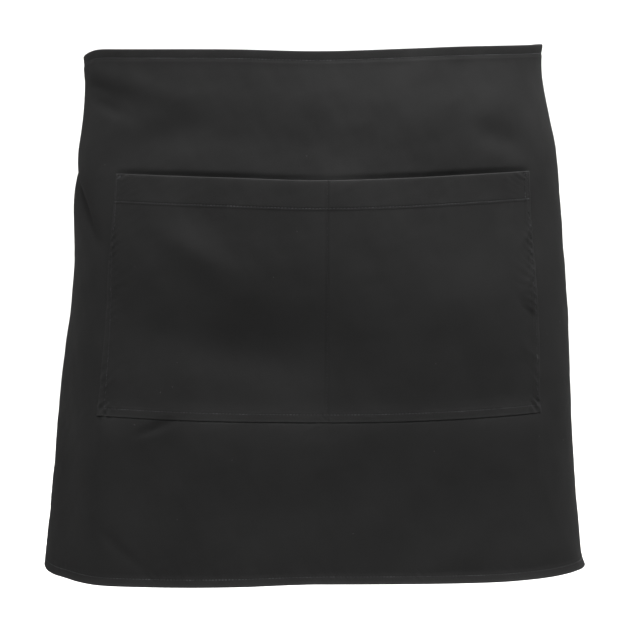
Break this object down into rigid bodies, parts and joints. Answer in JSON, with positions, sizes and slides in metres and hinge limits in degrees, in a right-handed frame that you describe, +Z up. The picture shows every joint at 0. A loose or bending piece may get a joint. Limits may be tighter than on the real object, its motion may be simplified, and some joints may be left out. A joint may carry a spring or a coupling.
{
  "type": "waist apron with a divided patch pocket, as worn",
  "caption": "Short black cotton apron curved as on its wearer, with a wide patch pocket parted by a seam and ties in a bow behind.",
  "frame": {"origin": "middle of the wearer's waist, level with the apron's top edge at the front", "axes": "-Y is the apron's front, +X is to the right of someone who faces it, +Z is up"},
  "size_m": [0.5347, 0.3138, 0.519],
  "materials": {
    "twill": "matt black cotton twill",
    "tie_twill": "matt black cotton twill, folded and sewn to a tape"
  },
  "bodies": {
    "root": {"skirt": "twill", "pocket": "twill", "tie_left": "tie_twill", "tie_right": "tie_twill", "bow_knot": "tie_twill", "bow_loop_left": "tie_twill", "bow_loop_right": "tie_twill", "tie_end_left": "tie_twill", "tie_end_right": "tie_twill"}
  },
  "joints": []
}
